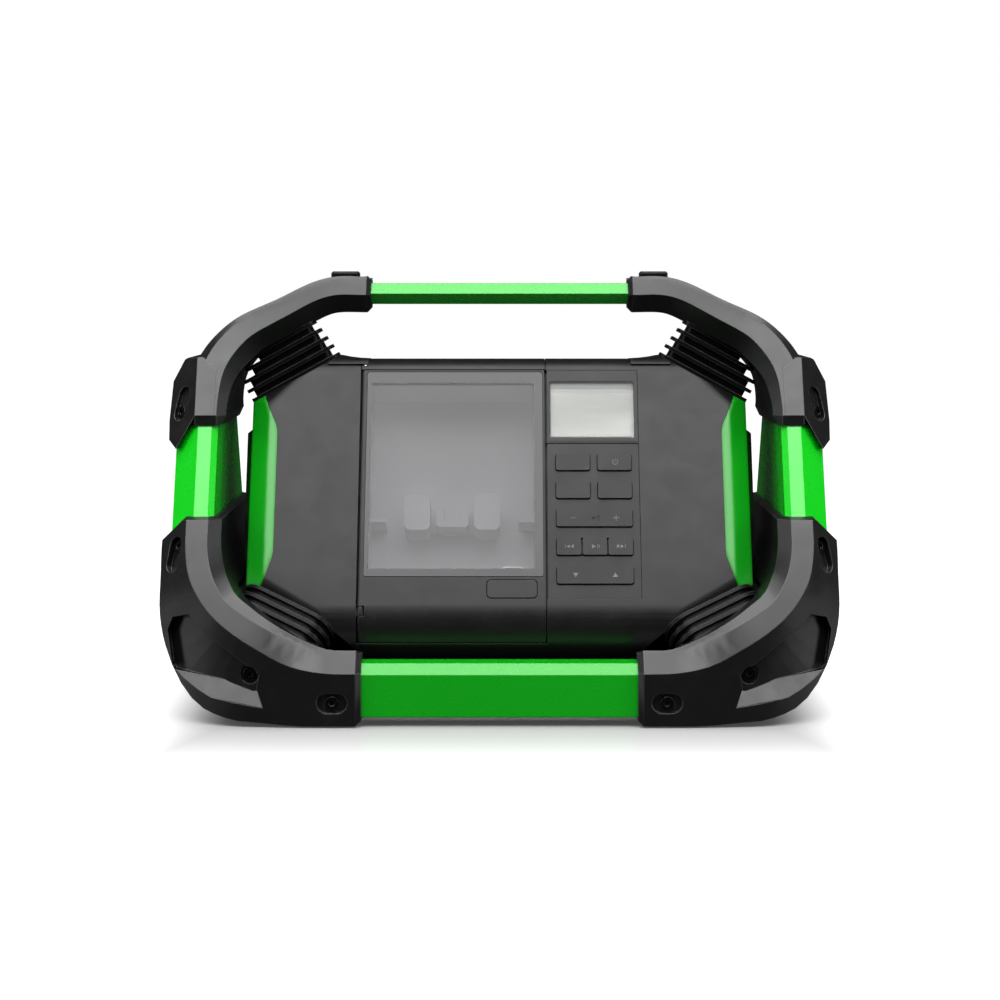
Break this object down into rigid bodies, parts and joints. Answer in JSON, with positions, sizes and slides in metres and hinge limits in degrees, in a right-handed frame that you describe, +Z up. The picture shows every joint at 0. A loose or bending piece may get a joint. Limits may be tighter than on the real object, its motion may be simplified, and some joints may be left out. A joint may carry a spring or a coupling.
{
  "type": "jobsite radio",
  "caption": "Rugged tabletop radio: a speaker body with a windowed storage door, display and keypad, hung on rubber mounts in an A-shaped cage of bumpers and bars.",
  "frame": {"origin": "on the floor, under the middle of the cage", "axes": "+Z up, +X to the right as seen from the front, the door and keypad face -Y"},
  "size_m": [0.4836, 0.28, 0.317],
  "materials": {
    "green_aluminium": "satin anodised",
    "bumper_plastic": "satin, fine grain",
    "damper_rubber": "satin",
    "body_plastic": "satin, fine grain",
    "ring_plastic": "satin",
    "black_rubber": "matte",
    "bolt_steel": "black oxide",
    "bright_steel": "brushed",
    "smoked_pane": "gloss, smoke tint",
    "clear_lens": "gloss",
    "lcd_plastic": "gloss",
    "key_plastic": "matte",
    "circuit_board": "solder mask",
    "cone_fibre": "matte",
    "basket_steel": "matte",
    "tub_plastic": "matte",
    "battery_plastic": "matte",
    "inlet_plastic": "gloss"
  },
  "bodies": {
    "radio": {"accent_ring_left": "ring_plastic", "accent_ring_right": "ring_plastic", "amplifier_board": "circuit_board", "battery_pack": "battery_plastic", "bottom_bar_front": "green_aluminium", "bottom_bar_rear": "green_aluminium", "bumper_bolts": "bolt_steel", "cover_hinge_pin": "bright_steel", "damper_lower_front_left": "damper_rubber", "damper_lower_front_right": "damper_rubber", "damper_lower_rear_left": "damper_rubber", "damper_lower_rear_right": "damper_rubber", "damper_upper_left": "damper_rubber", "damper_upper_right": "damper_rubber", "display_bezel": "body_plastic", "display_lens": "clear_lens", "door_hinge_pin": "bright_steel", "door_seal": "black_rubber", "foot_pads": "black_rubber", "front_shell": "body_plastic", "handle_caps": "black_rubber", "keypad_mat": "black_rubber", "lcd_module": "lcd_plastic", "lower_bumper_left": "bumper_plastic", "lower_bumper_right": "bumper_plastic", "main_board": "circuit_board", "phone_clip": "tub_plastic", "power_inlet": "inlet_plastic", "rear_grille": "body_plastic", "rear_shell": "body_plastic", "shell_screws": "bolt_steel", "side_guard_left": "green_aluminium", "side_guard_right": "green_aluminium", "speaker_basket_left": "basket_steel", "speaker_basket_right": "basket_steel", "speaker_cone_left": "cone_fibre", "speaker_cone_right": "cone_fibre", "speaker_grille_left": "body_plastic", "speaker_grille_right": "body_plastic", "storage_tub": "tub_plastic", "top_handle_bar": "green_aluminium", "upper_bumper_left": "bumper_plastic", "upper_bumper_right": "bumper_plastic", "usb_socket": "bright_steel", "woofer_basket": "basket_steel", "woofer_cone": "cone_fibre"},
    "door": {"door_frame": "body_plastic", "door_window": "smoked_pane"},
    "key_source": {"key_source": "key_plastic"},
    "key_power": {"key_power": "key_plastic"},
    "key_menu": {"key_menu": "key_plastic"},
    "key_enter": {"key_enter": "key_plastic"},
    "key_previous": {"key_previous": "key_plastic"},
    "key_play": {"key_play": "key_plastic"},
    "key_next": {"key_next": "key_plastic"},
    "volume_rocker": {"volume_rocker": "key_plastic"},
    "preset_rocker": {"preset_rocker": "key_plastic"},
    "door_latch": {"door_latch": "key_plastic"},
    "battery_latch": {"battery_latch": "key_plastic"},
    "battery_cover": {"battery_cover": "body_plastic"}
  },
  "joints": [
    {"name": "door_hinge", "type": "hinge", "parent": "radio", "child": "door", "pos_m": [-0.099, -0.06647, 0.14727], "axis": [0, -0.4327, -0.9015], "range_deg": [0, 95]},
    {"name": "door_latch_press", "type": "slide", "parent": "door", "child": "door_latch", "axis": [0, 0.9015, -0.4327], "range_m": [0, 0.0015], "stiffness_N_per_m": 600, "springref_m": -0.0005},
    {"name": "key_source_press", "type": "slide", "parent": "radio", "child": "key_source", "axis": [0, 0.9015, -0.4327], "range_m": [0, 0.0008], "stiffness_N_per_m": 600, "springref_m": -0.0005},
    {"name": "key_power_press", "type": "slide", "parent": "radio", "child": "key_power", "axis": [0, 0.9015, -0.4327], "range_m": [0, 0.0008], "stiffness_N_per_m": 600, "springref_m": -0.0005},
    {"name": "key_menu_press", "type": "slide", "parent": "radio", "child": "key_menu", "axis": [0, 0.9015, -0.4327], "range_m": [0, 0.0008], "stiffness_N_per_m": 600, "springref_m": -0.0005},
    {"name": "key_enter_press", "type": "slide", "parent": "radio", "child": "key_enter", "axis": [0, 0.9015, -0.4327], "range_m": [0, 0.0008], "stiffness_N_per_m": 600, "springref_m": -0.0005},
    {"name": "key_previous_press", "type": "slide", "parent": "radio", "child": "key_previous", "axis": [0, 0.9015, -0.4327], "range_m": [0, 0.0008], "stiffness_N_per_m": 600, "springref_m": -0.0005},
    {"name": "key_play_press", "type": "slide", "parent": "radio", "child": "key_play", "axis": [0, 0.9015, -0.4327], "range_m": [0, 0.0008], "stiffness_N_per_m": 600, "springref_m": -0.0005},
    {"name": "key_next_press", "type": "slide", "parent": "radio", "child": "key_next", "axis": [0, 0.9015, -0.4327], "range_m": [0, 0.0008], "stiffness_N_per_m": 600, "springref_m": -0.0005},
    {"name": "volume_rocker_tilt", "type": "hinge", "parent": "radio", "child": "volume_rocker", "pos_m": [0.0684, -0.07099, 0.13901], "axis": [0, 0.4327, 0.9015], "range_deg": [-2.5, 2.5], "stiffness_Nm_per_rad": 0.05},
    {"name": "preset_rocker_tilt", "type": "hinge", "parent": "radio", "child": "preset_rocker", "pos_m": [0.0684, -0.08969, 0.10007], "axis": [0, 0.4327, 0.9015], "range_deg": [-2.5, 2.5], "stiffness_Nm_per_rad": 0.05},
    {"name": "battery_cover_hinge", "type": "hinge", "parent": "radio", "child": "battery_cover", "pos_m": [0.082, 0.09734, 0.08411], "axis": [-1, 0, 0], "range_deg": [0, 90]},
    {"name": "battery_latch_slide", "type": "slide", "parent": "battery_cover", "child": "battery_latch", "axis": [0, 0.4327, -0.9015], "range_m": [0, 0.003], "stiffness_N_per_m": 300, "springref_m": -0.001}
  ]
}
